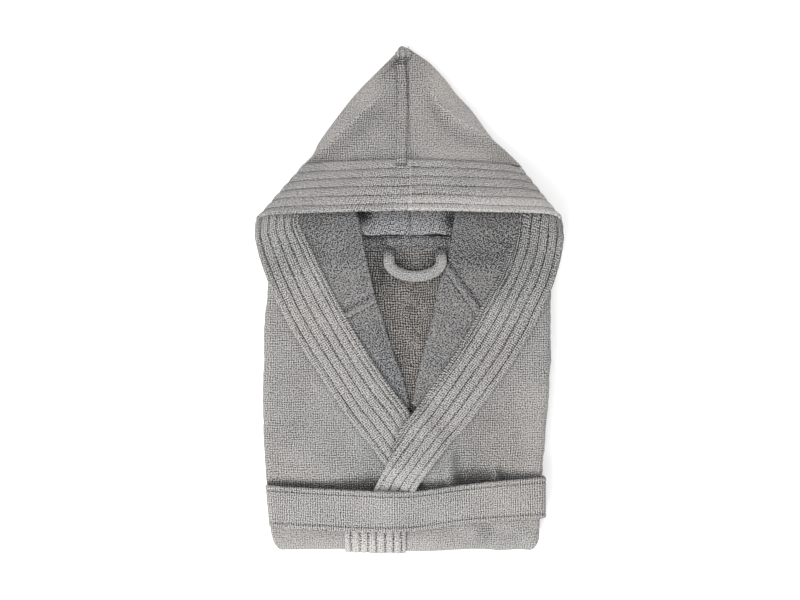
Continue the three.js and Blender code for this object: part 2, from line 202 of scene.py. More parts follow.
def slab(
    name, mid, up, material, grain=None,
    seam=0.0, down=None, wrap=False, lining=None, seam_below=None,
):
    """A closed sheet of cloth.

    mid is its middle surface, rows by columns by 3. up and down are the distances of its two faces, and
    down is the same as up if it isn't given. grain is the place of each point on the flat cloth, which is
    its plan if it isn't given, and seam is 1 where a row of stitches darkens it; seam also carries
    painted shade above 0 and painted light below 0. With wrap, the first column and the last one are the
    same line.
    lining is the lower face's material, and seam_below is its seam where that differs.
    """
    down = up if down is None else down
    grain = mid[..., :2] if grain is None else grain
    if wrap:
        mid = mid.copy()
        mid[:, -1] = mid[:, 0]
    rows, cols = mid.shape[:2]
    up = np.broadcast_to(up, (rows, cols))
    down = np.broadcast_to(down, (rows, cols))
    normal = normals(mid, wrap)
    verts = np.concatenate([
        (mid + normal * up[..., None]).reshape(-1, 3),
        (mid - normal * down[..., None]).reshape(-1, 3),
    ])
    count = rows * cols
    index = np.arange(count).reshape(rows, cols)
    quads = np.stack([index[:-1, :-1], index[:-1, 1:], index[1:, 1:], index[1:, :-1]], -1).reshape(-1, 4)
    if wrap:
        loops = [index[0], index[-1, ::-1]]
    else:
        ring = [index[0], index[1:, -1], index[-1, -2::-1], index[-2::-1, 0]]
        loops = [np.concatenate(ring)]
    walls = [[b, a, a + count, b + count] for loop in loops for a, b in zip(loop[:-1], loop[1:])]
    # The two faces share their points where the sheet has no thickness.
    same = np.arange(2 * count)
    thin = (up + down).reshape(-1) < 1e-4
    same[count:][thin] = np.arange(count)[thin]
    if wrap:
        same[index[:, -1]] = index[:, 0]
        same[index[:, -1] + count] = same[index[:, 0] + count]
    faces = same[np.concatenate([quads, quads[:, ::-1] + count, np.array(walls)])]
    # Faces that have shrunk to a line are left out, and then the points that no face uses.
    kept, slots = [], []
    for place, face in enumerate(faces.tolist()):
        face = [v for k, v in enumerate(face) if v != face[k - 1]]
        if len(face) > 2 and len(set(face)) == len(face):
            kept.append(face)
            slots.append(int(len(quads) <= place < 2 * len(quads)))
    used = np.unique([v for face in kept for v in face])
    renumber = np.zeros(2 * count, int)
    renumber[used] = np.arange(len(used))
    faces = [[int(renumber[v]) for v in face] for face in kept]
    flat = np.concatenate([grain.reshape(-1, 2)] * 2)[used]
    sides = (seam, seam if seam_below is None else seam_below)
    dark = np.concatenate([np.broadcast_to(side, (rows, cols)).reshape(-1) for side in sides])[used]
    piece = cloth_piece(name, verts[used], faces, flat, dark, material)
    if lining:
        piece.data.materials.append(lining)
        piece.data.polygons.foreach_set("material_index", slots)
    return piece


def dress(piece, nodes, body):
    """What a sheet of cloth stands for, and what it moves with."""
    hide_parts(*nodes)
    if body == "robe to hood":
        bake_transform(piece)
    else:
        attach(piece, body)


# ---------- materials ----------
class Nodes:
    """A small wrapper that adds nodes to a material and links them."""

    def __init__(self, name):
        self.material = bpy.data.materials.new(name)
        self.material.use_nodes = True
        self.tree = self.material.node_tree
        self.shader = self.tree.nodes["Principled BSDF"]

    def add(self, kind, **values):
        """A new node. A value belongs to the socket of its name, or else it is a setting of the node."""
        node = self.tree.nodes.new("ShaderNode" + kind)
        for key, value in values.items():
            if key in node.inputs:
                self.put(node.inputs[key], value)
            else:
                setattr(node, key, value)
        return node

    def put(self, socket, value):
        """Links a socket to another, or gives it a constant."""
        if isinstance(value, bpy.types.NodeSocket):
            self.tree.links.new(value, socket)
        else:
            socket.default_value = value

    def vector_sum(self, a, b):
        node = self.add("VectorMath", operation="ADD")
        self.put(node.inputs[0], a)
        self.put(node.inputs[1], b)
        return node.outputs["Vector"]

    def mix(self, share, a, b, blend="MIX"):
        node = self.add("Mix", data_type="RGBA", blend_type=blend)
        for socket, value in zip((0, 6, 7), (share, a, b)):
            self.put(node.inputs[socket], value)
        return node.outputs[2]

    def maths(self, operation, a, b=0.0, clamp=False):
        node = self.add("Math", operation=operation, use_clamp=clamp)
        self.put(node.inputs[0], a)
        self.put(node.inputs[1], b)
        return node.outputs[0]

    def spread(self, value, middle, amount, clamp=False):
        """How far a value is from a middle one, times an amount."""
        return self.maths("MULTIPLY", self.maths("SUBTRACT", value, middle, clamp), amount)

    def noise(self, where, size, detail, **values):
        """Noise with features of a size in millimetres."""
        return self.add("TexNoise", Vector=where, Scale=1 / (size * MM), Detail=detail, **values).outputs


def linear(*srgb):
    """A colour given as the eye sees it, 0 to 255, as the shader needs it."""
    c = np.array(srgb) / 255
    return (*np.where(c < 0.04045, c / 12.92, ((c + 0.055) / 1.055) ** 2.4), 1.0)


def cloth(
    name, light, dark, pitch, weave, pile, level, relief,
    seam_tone=0.5, turn=0.0, one_way=0.0, wobble=1.0, loop=1.7,
):
    """Terry cloth: rows of loops both ways with dark gaps between them.

    light and dark are the greys of the loops' tips and of the gaps, 0 to 255. pitch is the rows' spacing
    in millimetres. weave and pile say how strongly the rows and the single loops show, level is the mean
    tone, and relief is the height of the bump in millimetres. seam_tone is how much the seam attribute
    darkens: a row of stitches, and the painted shade that the attribute also carries. turn is the
    direction of the rows in degrees, and one_way is 1 where they show in that direction only. wobble is
    how unevenly the rows run, and loop is the size of one loop in millimetres.
    """
    n = Nodes(name)
    flat = n.add("Attribute", attribute_name="grain").outputs["Vector"]
    stitch_and_shade = n.add("Attribute", attribute_name="seam").outputs["Fac"]
    where = flat
    for size, shift in ((16, 2.4), (4.5, 0.8)):
        bend = n.noise(flat, size, 0.0)["Color"]
        bend = n.add("VectorMath", operation="SCALE", Vector=bend, Scale=shift * wobble * MM)
        where = n.vector_sum(where, bend.outputs["Vector"])
    if turn:
        rotated = n.add("VectorRotate", rotation_type="Z_AXIS", Vector=where)
        rotated.inputs["Angle"].default_value = np.radians(turn)
        where = rotated.outputs["Vector"]
    ribs = []
    for direction in ("X", "Y"):
        wave = n.add("TexWave", Vector=where, Scale=0.314 / (pitch * MM))
        wave.bands_direction = direction
        ribs.append(wave.outputs["Fac"])
    across = n.spread(ribs[1], 0.5, 1 - one_way)
    woven = n.maths("ADD", n.maths("SUBTRACT", ribs[0], 0.5), across)
    strength = n.spread(n.noise(flat, 13, 2.0)["Fac"], 0.25, weave * 4, clamp=True)
    # A row of stitches darkens the cloth, and so does painted shade. Where light is painted in, below 0,
    # the weave shows less.
    shown = n.maths("ADD", n.maths("MULTIPLY", stitch_and_shade, 2.4), 1.0, clamp=True)
    strength = n.maths("MULTIPLY", strength, shown)
    woven = n.maths("MULTIPLY", woven, strength)
    loops = n.spread(n.noise(flat, loop, 1.0, Roughness=0.6)["Fac"], 0.5, pile * 4)
    mottle = n.spread(n.noise(flat, 50, 3.0)["Fac"], 0.5, 0.3)
    texture = n.maths("ADD", woven, loops)
    tone = n.maths("ADD", n.maths("ADD", texture, mottle), level)
    tone = n.maths("SUBTRACT", tone, n.maths("MULTIPLY", stitch_and_shade, seam_tone), clamp=True)
    colour = n.mix(tone, linear(*dark), linear(*light))
    warmth = n.spread(n.noise(flat, 160, 1.0)["Fac"], 0.35, 3.0)
    warmth = n.maths("SUBTRACT", warmth, stitch_and_shade, clamp=True)
    tint = n.mix(warmth, (0.99, 1.0, 1.0, 1), (1.03, 0.99, 0.955, 1))
    n.put(n.shader.inputs["Base Color"], n.mix(1.0, colour, tint, "MULTIPLY"))
    raised = n.add("Bump", Strength=1.0, Distance=relief * MM, Height=texture)
    n.put(n.shader.inputs["Normal"], raised.outputs[0])
    n.shader.inputs["Roughness"].default_value = 0.95
    n.shader.inputs["Specular IOR Level"].default_value = 0.1
    n.shader.inputs["Sheen Weight"].default_value = 0.1
    n.shader.inputs["Sheen Roughness"].default_value = 0.6
    return n.material


VELOUR = cloth(
    "velour", (154, 153, 152), (44, 43, 42),
    pitch=2.9, weave=0.46, pile=0.66, level=0.525, relief=0.5,
    wobble=1.3, loop=1.5,
)
QUILTED = cloth(
    "quilted_velour", (166, 165, 164), (24, 24, 24),
    pitch=2.7, weave=0.34, pile=0.74, level=0.545, relief=0.5,
    seam_tone=0.9, loop=1.55,
)
TERRY = cloth(
    "looped_terry", (158, 159, 161), (10, 10, 11),
    pitch=2.5, weave=0.6, pile=1.85, level=0.59, relief=1.5,
    seam_tone=0.6, turn=35, one_way=0.5, loop=1.8,
)
# A copy of the looped terry painted darker, as the right facing's shade, with its rows turned the other
# way.
TERRY_SHADED = cloth(
    "looped_terry_painted_shade", (150, 151, 153), (9, 9, 10),
    pitch=2.5, weave=0.6, pile=1.85, level=0.425, relief=1.5,
    seam_tone=0.6, turn=-35, one_way=0.5, loop=1.8,
)
INSIDE = cloth(
    "woven_inside", (150, 147, 144), (10, 9, 8),
    pitch=3.1, weave=1.35, pile=1.1, level=0.37, relief=1.1,
    wobble=1.8, loop=1.6,
)
TAPE = cloth(
    "neck_tape_terry", (158, 158, 158), (8, 8, 8),
    pitch=2.6, weave=0.30, pile=1.3, level=0.36, relief=0.8,
    seam_tone=0.6, wobble=2.0, loop=1.4,
)
HANGER = cloth(
    "hanger_velour", (164, 163, 162), (30, 29, 29),
    pitch=2.6, weave=0.08, pile=0.50, level=0.50, relief=0.3,
    seam_tone=0.8, loop=1.4,
)
LINING = cloth(
    "hood_lining", (172, 172, 175), (24, 24, 26),
    pitch=2.6, weave=0.50, pile=1.15, level=0.575, relief=0.8,
    seam_tone=0.7, turn=20, one_way=0.3, loop=1.8,
)
STRAP = cloth(
    "strap_velour", (160, 159, 158), (28, 27, 27),
    pitch=2.9, weave=0.52, pile=0.62, level=0.54, relief=0.4,
    seam_tone=1.0, one_way=0.55, loop=1.45,
)


# ---------- light, floor and camera ----------
def stage():
    """A pale floor."""
    floor_material = Nodes("floor_paper")
    floor_material.shader.inputs["Base Color"].default_value = (0.97, 0.97, 0.97, 1)
    floor_material.shader.inputs["Roughness"].default_value = 0.9
    reach = 6.0
    corners = [(x * reach, y * reach, 0) for x, y in ((-1, -1), (1, -1), (1, 1), (-1, 1))]
    floor_mesh = bpy.data.meshes.new("floor")
    floor_mesh.from_pydata(corners, [], [(0, 1, 2, 3)])
    floor_mesh.materials.append(floor_material.material)
    add_object("floor", floor_mesh)


def camera():
    """The camera looks straight down."""
    data = bpy.data.cameras.new("camera")
    height = 3.0
    view_width = 1.0085
    data.sensor_width = 36
    data.lens = data.sensor_width * height / view_width
    cam = add_object("camera", data)
    cam.location = (-0.0125, -0.0011, height)
    bpy.context.scene.camera = cam


def area_light(name, place, size, power):
    """A square lamp that faces the origin."""
    data = bpy.data.lights.new(name, "AREA")
    data.shape = "SQUARE"
    data.size = size
    data.energy = power
    lamp = add_object(name, data)
    lamp.location = place
    lamp.rotation_euler = Vector(place).to_track_quat("Z", "Y").to_euler()


def lights():
    """Two large soft lamps and an even white surround."""
    area_light("key", (-1.15, -1.5, 2.0), size=1.8, power=115)
    area_light("fill", (1.5, 0.9, 2.2), size=2.8, power=44)
    world = bpy.data.worlds.new("studio")
    world.use_nodes = True
    background = world.node_tree.nodes["Background"]
    background.inputs["Color"].default_value = (1, 1, 1, 1)
    background.inputs["Strength"].default_value = 0.79
    bpy.context.scene.world = world
    bpy.context.scene.view_settings.view_transform = "Standard"


camera()
stage()
lights()

# ---------- the folded body ----------
FOLD_Y = PACK_LOW[1]
LIFT = 4.8  # the bottom end rides up on the belt
BOTTOM_R = (TOP_Z - BASE_Z - LIFT) / 2
TOP_R = 11.3
SHOULDER_Y = 76.0
BACK_FOLD_Y = PACK_HIGH[1]
HEM_Y = -270.0

pack_left = table([
    (-320, -158), (-308, -168), (-285, -173), (-213, -180), (-140, -183), (-25, -181), (12, -177.5),
    (90, -172),
])
pack_right = table([
    (-320, 146), (-308, 157), (-285, 161.5), (-213, 165), (-150, 170), (-100, 174), (12, 175),
    (90, 171),
])
roll_left = table([(-136, -3), (-98, -10), (-55, -25), (4, -42), (48, -54), (104, -65), (135, -72)])
roll_right = table([(-132, 2), (-97, 8), (-41, 20), (12, 33), (43, 46), (106, 56), (135, 62)])


def fold_path():
    """The outside of the folded body seen from the side, as (y, z), from the hem to the shoulders."""
    waist_z = BASE_Z + LIFT
    middle_z = BASE_Z + 2 * TOP_R
    return Curve(
        np.vstack([
            [HEM_Y, middle_z + LIFT],
            [-215, middle_z + LIFT],
            [-185, middle_z],
            arc((BACK_FOLD_Y - TOP_R, BASE_Z + TOP_R), TOP_R, 90, -90, 24),
            [-185, BASE_Z],
            [-215, waist_z],
            arc((FOLD_Y + BOTTOM_R, waist_z + BOTTOM_R), BOTTOM_R, 270, 90, 24),
            [SHOULDER_Y, TOP_Z],
        ]),
        smooth=False,
    )


PATH = fold_path()
TOP_START = PATH.length - (SHOULDER_Y - FOLD_Y - BOTTOM_R)  # where the top ply begins
BAND_LEFT, BAND_RIGHT = -81.0, -5.0  # the front band at the bottom fold
UNDER_SPLIT = BAND_LEFT + 37.0  # where the fronts meet, round the bottom and under the pack
PLY_GAP = 0.5  # air between two plies
FLAP = 96.0  # how far a side is turned in behind the back
PINCH = 5.2  # how far the body dives next to the belt
FRONT_SPLIT = table([(-320, -44), (-287, -44), (-238, -20), (-204, 0), (-190, 0), (0, 0), (100, 0)])


def path_normal(s):
    """The outward direction of the fold path."""
    ahead = PATH.at(s + 2) - PATH.at(s - 2)
    ahead /= np.linalg.norm(ahead, axis=-1, keepdims=True)
    return np.stack([-ahead[..., 1], ahead[..., 0]], -1)


def on_path(x, s, rise):
    """Points at x, raised from the fold path at the distance s along it."""
    yz = PATH.at(s) + path_normal(s) * rise[..., None]
    return np.concatenate([x[..., None], yz], -1)


belt_upper = table([
    (-182, -230.5), (-126, -234), (-60, -237), (0, -238), (55, -231.5), (105, -225.8),
    (172, -220.5),
])
belt_lower = table([
    (-182, -283), (-126, -285.3), (-60, -288.2), (0, -287.2), (75, -277.6), (172, -271.5),
])

# A painted shadow where the cloth dives under the belt: how far up from the belt it reaches, and how dark
# it is.
belt_shadow_reach = table([
    (-182, 10), (-130, 13), (-105, 14), (-85, 19), (-62, 23), (-48, 27), (-30, 22), (0, 12), (30, 12),
    (45, 16), (62, 24), (90, 24), (112, 20), (135, 14), (172, 10),
])
belt_shadow_depth = table([
    (-182, 0.8), (-130, 1.08), (-40, 1.1), (0, 0.8), (30, 0.6), (50, 0.85), (75, 1.1), (100, 1.0),
    (120, 0.95), (150, 0.65), (172, 0.5),
])


def body_noise(x, y):
    """The slight unevenness that the top ply and everything on it share."""
    return 0.55 * ripple(x, y, 120, 4) + 0.35 * ripple(x, y, 45, 5)


def body_relief(x, y):
    """How far the top ply rises above its plane: it dives under the belt, and folds start there."""
    away = y - belt_upper(x)
    rise = 0.3 + body_noise(x, y) - PINCH * bump(away - 2, 12)
    pull = ramp(away, -10, 2) * ramp(away, 62, 17)
    rise = rise + pull * (6.6 * bump(x - 48, 6) - 4.4 * bump(x - 61, 7) - 2.4 * bump(x - 82, 14))
    short = ramp(away, -10, 2) * ramp(away, 26, 6)
    rise = rise + short * (5.0 * bump(x - 105, 4.5) - 4.0 * bump(x - 114, 5))
    wrinkled = 0.7 + 1.5 * ramp(x, 20, 80)
    below = ramp(y, -275, -291)
    rise = rise + (wrinkled * ripple(x + 0.6 * y, y / 2, 42, 7) - 0.3) * below
    return rise - 1.3 * below * (bump(x - 93, 9) + bump(x - 134, 8) - bump(x - 112, 8))


def ply_thickness(s, y):
    """The height of the folded cloth: more where the sleeves lie inside it."""
    on_top = s > TOP_START
    return PLY + on_top * (TOP_PLY - PLY) * ramp(y, -222, -186)


def top_share(s):
    """1 on the top ply, falling to 0 round the bottom fold."""
    return ramp(s - TOP_START, -40, 0)


def fold_relief(x, s):
    """How far the cloth stands out round the bottom fold and behind it."""
    waves = 0.9 * ripple(x, 0 * x, 75, 16) + 0.3 * ripple(x, 0 * x, 24, 17)
    at_fold = bump(s - TOP_START + 30, 40) * (waves + 2.2 * bump(x + 8, 62))
    return (1 - top_share(s)) * 0.4 * ripple(x, s + 0 * x, 70, 9) + at_fold


def across_front(width, thick):
    """Points across one front, from its free edge over the side fold to the edge of the flap behind.

    They come as the distance in from the fold, the depth below the top, and the share of the relief.
    """
    half_skin = SKIN / 2
    radius = (thick - SKIN) / 2
    start = half_skin + radius
    turn = np.radians(np.linspace(90, -90, 13))[None, :]
    rim = half_skin * (1 - np.cos(np.linspace(0, np.pi / 2, 5)[:-1]))
    even = start + (width - half_skin - start) * np.linspace(1, 0, 76)[None, :]
    top = np.concatenate([width - rim[None, :], even[:, :-1]], axis=1)
    back = start + (FLAP - start) * np.linspace(0, 1, 16)[None, 1:]
    q = np.concatenate([top, half_skin + radius * (1 - np.cos(turn)), back], axis=1)
    depths = [half_skin + 0 * top, thick / 2 - radius * np.sin(turn), thick - half_skin + 0 * back]
    shares = [1 + 0 * top, 0.95 + 0.05 * np.sin(turn) + 0 * width, 0.9 + 0 * back]
    return q, np.concatenate(depths, axis=1), np.concatenate(shares, axis=1)


def front_painted_shade(x, y):
    """Painted shade and light on the top ply, in its folds and above the belt, with a faint random tone.
    """
    # Painted shade towards the right above the belt, and painted light below the belt.
    tone_and_shade = 0.13 * ramp(x, 0, 60) * ramp(y, -260, -220) - 0.17 * ramp(y, -255, -285)
    # Painted shade in the folds below the belt.
    below = ramp(y, -276, -284) * ramp(y, -314, -298)
    tone_and_shade = tone_and_shade + below * (0.32 * bump(x - 93, 10) + 0.14 * bump(x - 134, 8))
    # Painted light at the right edge.
    at_right = ramp(x, 120, 155) * ramp(y, -60, -120) * ramp(y, -250, -225)
    tone_and_shade = tone_and_shade - 0.26 * at_right
    away = y - belt_upper(x)
    above = ramp(away, -10, 0)
    # Painted light and shade on the flanks of the folds above the belt.
    long_folds = 0.22 * bump(x - 60, 7) - 0.24 * bump(x - 47, 6) + 0.12 * bump(x - 84, 12)
    short_folds = 0.2 * bump(x - 112, 5) - 0.2 * bump(x - 104, 4)
    tone_and_shade = tone_and_shade + above * ramp(away, 70, 20) * long_folds
    tone_and_shade = tone_and_shade + above * ramp(away, 34, 8) * short_folds
    # A painted shadow in the dip where the cloth dives under the belt.
    reach = belt_shadow_reach(x)
    belt_shadow = ramp(away, reach, 0.45 * reach - 3) * ramp(away, -8, -2)
    tone_and_shade = tone_and_shade + 0.88 * belt_shadow_depth(x) * belt_shadow
    # A painted shadow in the gap between the right lapel's end and the belt.
    tone_and_shade = tone_and_shade + 0.9 * bump(np.hypot((x - 13) * 0.8, (y + 232) * 1.3), 6)
    return tone_and_shade + 0.05 * ripple(x, y + 0 * x, 80, 10)


def front(name, side):
    """One front of the robe: folded up in three, with its side wrapped round behind the back panel."""
    s = steps(PATH.length, 3.2, 1.6)[:, None]
    y = PATH.at(s[:, 0])[:, :1]
    edge = (pack_left if side < 0 else pack_right)(y)
    edge = edge + 0.7 * ripple(s, 0 * s, 45, 13 + side) + 0.35 * ripple(s, 0 * s, 13, 15 + side)
    seam = FRONT_SPLIT(y) + 0.2 * side
    roll = roll_left(y) - 8 if side < 0 else roll_right(y) + 8
    open_neck = side * np.maximum(side * seam, side * roll)
    top_inner = np.where(y > -150, open_neck, seam)
    inner = np.where(s > TOP_START, top_inner, UNDER_SPLIT + 0.2 * side)
    width = np.abs(inner - edge)
    q, depth, share = across_front(width, ply_thickness(s, y))
    x = edge - side * q
    rise = top_share(s) * share * body_relief(x, y + 0 * x) + fold_relief(x, s) - depth
    mid = on_path(x, s, rise)
    other_edge = np.where(share > 0.9, width, FLAP - q)
    rims = rounding(np.minimum(width - q, other_edge), SKIN / 2)
    half = SKIN / 2 * rims * round_ends(s, PATH.length, SKIN / 2)
    # Painted shade and light on the top ply, with a faint random tone, go into the seam attribute.
    tone_and_shade = front_painted_shade(x, y) * top_share(s)
    if side < 0:
        mid, half, tone_and_shade = mid[:, ::-1], half[:, ::-1], tone_and_shade[:, ::-1]
    steps_across = np.linalg.norm(np.diff(mid, axis=1), axis=-1)
    run = np.concatenate([0 * s, np.cumsum(steps_across, axis=1)], axis=1)
    at_edge = np.argmax(side * mid[..., 0], axis=1)
    run = run - run[np.arange(len(s)), at_edge][:, None] + edge
    return slab(name, mid, half, VELOUR, np.stack([run, s + 0 * x], -1), tone_and_shade, lining=TERRY)


def make_body():
    """The two fronts, which wrap the rest of the pack."""
    for side, word in ((-1, "left"), (1, "right")):
        piece = front("front_" + word, side)
        dress(piece, ["front_panel_" + word], "robe")


def make_back():
    """The back of the robe, inside the fronts, with its inside showing between the lapels."""
    trim = 4.0  # it ends this much short of the fronts' ends
    s = steps(PATH.length - 2 * trim, 3.0, 1.6) + trim
    y = PATH.at(s)[:, :1]
    left, right = pack_left(y) + 4.6, pack_right(y) - 4.6
    x = left + (right - left) * steps(1, 0.0085)[None, :]
    s = s[:, None] + 0 * x
    yy = y + 0 * x
    inside = np.minimum(x - roll_left(yy), roll_right(yy) - x)
    neck = ramp(inside, -4, 2) * ramp(yy, -150, -140) * top_share(s)
    wrinkles = 0.5 * ripple(x, yy, 50, 21) + 0.5 * ripple(x, yy, 22, 22)
    rise = top_share(s) * (0.95 * body_relief(x, yy) + neck * wrinkles)
    mid = on_path(x, s, rise - SKIN - PLY_GAP - SKIN / 2)
    rims = round_ends(x - left, right - left, SKIN / 2)
    half = SKIN / 2 * rims * round_ends(s - trim, PATH.length - 2 * trim, SKIN / 2)
    # Painted shade along the left roll edge and just inside it, a lighter middle, and a little random
    # tone.
    shade = 0.35 * bump(x - roll_left(yy), 13) + 0.15 * ripple(x, yy, 26, 23) - 0.12 * bump(x, 25)
    shade = shade + 0.3 * bump(x - roll_left(yy) - 8, 12) * ramp(yy, -10, 20)
    # Painted shade in the corners round the hanging loop and at the neck.
    corners = ((-13, 47, 9), (31, 50, 9), (-46, 50, 17), (-38, 28, 13), (44, 22, 9))
    for corner_x, corner_y, size in corners:
        shade = shade + 0.75 * bump(np.hypot(x - corner_x, yy - corner_y), size)
    shade = np.clip(shade, -0.4, 1)
    piece = slab("back", mid, half, INSIDE, np.stack([x, s], -1), shade, lining=VELOUR)
    dress(piece, ["back_panel"], "robe")


def flat_tube(name, low, high, wall, material, rows=(), seed=0):
    """A flattened tube of cloth along Y that fills a box, with stitched rows round it."""
    radius = (high[2] - low[2] - wall) / 2
    left, right = low[0] + wall / 2 + radius, high[0] - wall / 2 - radius
    height = (low[2] + high[2]) / 2
    flat = np.linspace(left, right, 50)
    ring = [
        [(x, height + radius) for x in flat[:-1]],
        arc((right, height), radius, 90, -90, 9)[:-1],
        [(x, height - radius) for x in flat[:0:-1]],
        arc((left, height), radius, 270, 90, 9),
    ]
    loop = Curve(np.vstack(ring), smooth=False)
    y = steps(high[1] - low[1], 2.2, wall / 2)
    a, yy = np.meshgrid(np.linspace(0, loop.length, 150), y)
    xz = loop.at(a)
    groove = sum(bump(yy - row, 1.3) for row in rows) if rows else 0 * yy
    mid = np.stack([xz[..., 0], low[1] + yy, xz[..., 1] + 0.3 * ripple(a, yy, 40, seed)], -1)
    half = (wall / 2 - 0.5 * groove) * round_ends(yy, y[-1], wall / 2)
    return slab(name, mid, half, material, np.stack([a, yy], -1), groove, wrap=True, lining=TERRY)


def make_sleeves():
    """The sleeves lie folded down between the back and the side flaps, with their turned-back cuffs."""
    drop = TOP_Z - SKIN - PLY_GAP - SKIN - 0.8
    for word in ("left", "right"):
        low, high = node_box("sleeve_" + word)
        shift = drop - high[2]
        low[2], high[2] = low[2] + shift, high[2] + shift
        low[1] += 0.3
        sleeve = flat_tube("sleeve_" + word + "_tube", low, high, SKIN - 0.4, VELOUR, seed=11)
        dress(sleeve, ["sleeve_" + word], "robe")
        low, high = node_box("sleeve_cuff_" + word)
        low[2], high[2] = low[2] + shift, high[2] + shift
        cuff = flat_tube("cuff_" + word, low, high, SKIN - 0.4, QUILTED, (10, 21, 32, 43), 12)
        dress(cuff, ["sleeve_cuff_" + word], "robe")


def patch(name, low, high, material, rows=(), hem=0.0):
    """A flat piece of cloth that fills a box, with stitched rows at distances from its upper edge."""
    size = high - low
    xx, yy = np.meshgrid(steps(size[0], 2.0, 1.6), steps(size[1], 2.0, 1.6))
    from_top = size[1] - yy
    rim_distance = np.minimum(np.minimum(xx, size[0] - xx), np.minimum(yy, from_top))
    groove = sum(bump(from_top - row, 1.3) for row in rows) if rows else 0 * yy
    groove = groove + (bump(rim_distance - hem, 0.9) if hem else 0)
    thick = size[2] / 2 - 0.25
    half = (thick - 0.5 * groove) * rounding(rim_distance, thick)
    mid = np.stack([low[0] + xx, low[1] + yy, (low[2] + high[2]) / 2 + 0 * xx], -1)
    return slab(name, mid, half, material, np.stack([xx, yy], -1), groove)


def make_pockets_and_loops():
    """The pockets, their bands and the belt's carriers, where the folding has put them out of sight."""
    for word in ("left", "right"):
        for name, node, material, slot, rows, hem in (
            ("pocket_bag_", "pocket_", VELOUR, "velour", (), 5.0),
            ("pocket_top_", "pocket_band_", QUILTED, "quilted_band", (8, 18, 28), 0.0),
            ("carrier_", "belt_loop_", STRAP, "velour", (), 2.0),
        ):
            low, high = node_box(node + word)
            piece = patch(name + word, low, high, material, rows, hem)
            dress(piece, [node + word], "robe")


# ---------- hood ----------
HOOD_TOP_Y = 316.0  # the panels end here, inside the peak

# The hood at each distance up the pack: its two sides in plan, then the heights of its upper layer,
# its side folds and its lower layer.
hood_left = table([
    (70, -194), (97, -192.5), (117, -176), (147, -154), (167, -135), (180, -122), (197, -114),
    (227, -92.5), (257, -69), (287, -40), (307, -20), (318, -9),
])
hood_right = table([
    (70, 191), (97, 189.5), (117, 176), (137, 164), (157, 147), (167, 139), (187, 119),
    (197, 107.5), (207, 99), (237, 77.5), (257, 59), (277, 44), (297, 25), (307, 11), (318, -5),
])
hood_crown = table([
    (70, 58.5), (97, 58.5), (108, 58), (127, 54), (157, 45.5), (173, 41), (197, 35), (227, 29),
    (277, 19.5), (307, 11), (318, 7.5),
])
hood_side = table([
    (70, 51.5), (97, 51), (108, 47), (127, 38.5), (157, 27), (177, 21), (197, 17.5), (227, 14),
    (277, 10), (307, 6.2), (318, 5),
])
hood_floor = table([
    (70, 39.5), (78, 39), (92, 34.5), (108, 28), (127, 19), (157, 7), (177, 2.6), (197, 1.2),
    (227, 0.6), (277, 0.5), (307, 0.6), (318, 2),
])


def across_hood(x, y):
    """-1 at the hood's left side, 1 at its right side."""
    middle = (hood_left(y) + hood_right(y)) / 2
    half = (hood_right(y) - hood_left(y)) / 2
    return np.clip((x - middle) / half, -1, 1)


def fullness(xi):
    """How fully the hood stands open between its two sides."""
    return np.sqrt(np.clip(1 - np.abs(xi) ** 2.8, 0, 1))


# Creases of the hood, from the band's corners up towards the seam.
CREASES = (
    Curve([(-128, 172), (-104, 190), (-80, 212), (-52, 238), (-30, 258)]),
    Curve([(122, 184), (96, 203), (66, 219), (38, 240), (18, 272)]),
)


def crease(x, y, curve):
    """How far a point lies above a crease, and how strong the crease is there."""
    order = np.argsort(curve.points[:, 0])
    line = curve.points[order]
    inside = np.minimum(x - line[0, 0], line[-1, 0] - x)
    return 0.75 * (y - np.interp(x, line[:, 0], line[:, 1])), ramp(inside, -4, 22)


def hood_creases(x, y):
    """Soft creases that run from the sides up towards the seam."""
    rise = 0.8 * ripple(x, y, 95, 31) + 0.35 * ripple(x, y, 35, 32)
    for curve in CREASES:
        above, strength = crease(x, y, curve)
        ridge = 3.0 * bump(above - 2, 3.6) + 1.6 * bump(above - 6, 12)
        rise = rise + strength * (ridge - 3.4 * bump(above + 9, 9))
    return rise


def hood_shade(x, y):
    """Painted light outside the creases and painted shade inside them, painted light on the right and
    above the band.
    """
    shade = -0.15 * ramp(x, -20, 20) - 0.18 * bump(y - 178, 15) * ramp(x, 5, 35)
    for curve in CREASES:
        above, strength = crease(x, y, curve)
        shade = shade + strength * (0.17 * bump(above + 8, 10) - 0.34 * ramp(above, -2, 3))
    # Painted shade in small folds under the knotted peak.
    shade = shade + 0.8 * bump(np.hypot(x + 15, y - 294), 6)
    shade = shade + 0.35 * bump(beside(x, y, (-34, 279), (-17, 300)), 2.5) * bump(x + 24, 10)
    return shade + 0.05 * ripple(x, y, 60, 33)


def hood_top(x, y):
    """The height of the hood's upper layer."""
    full = fullness(across_hood(x, y))
    return hood_side(y) + (hood_crown(y) - hood_side(y)) * full + hood_creases(x, y) * full


def hood_bottom(x, y):
    """The height of the hood's lower layer."""
    return hood_side(y) - (hood_side(y) - hood_floor(y)) * fullness(across_hood(x, y))


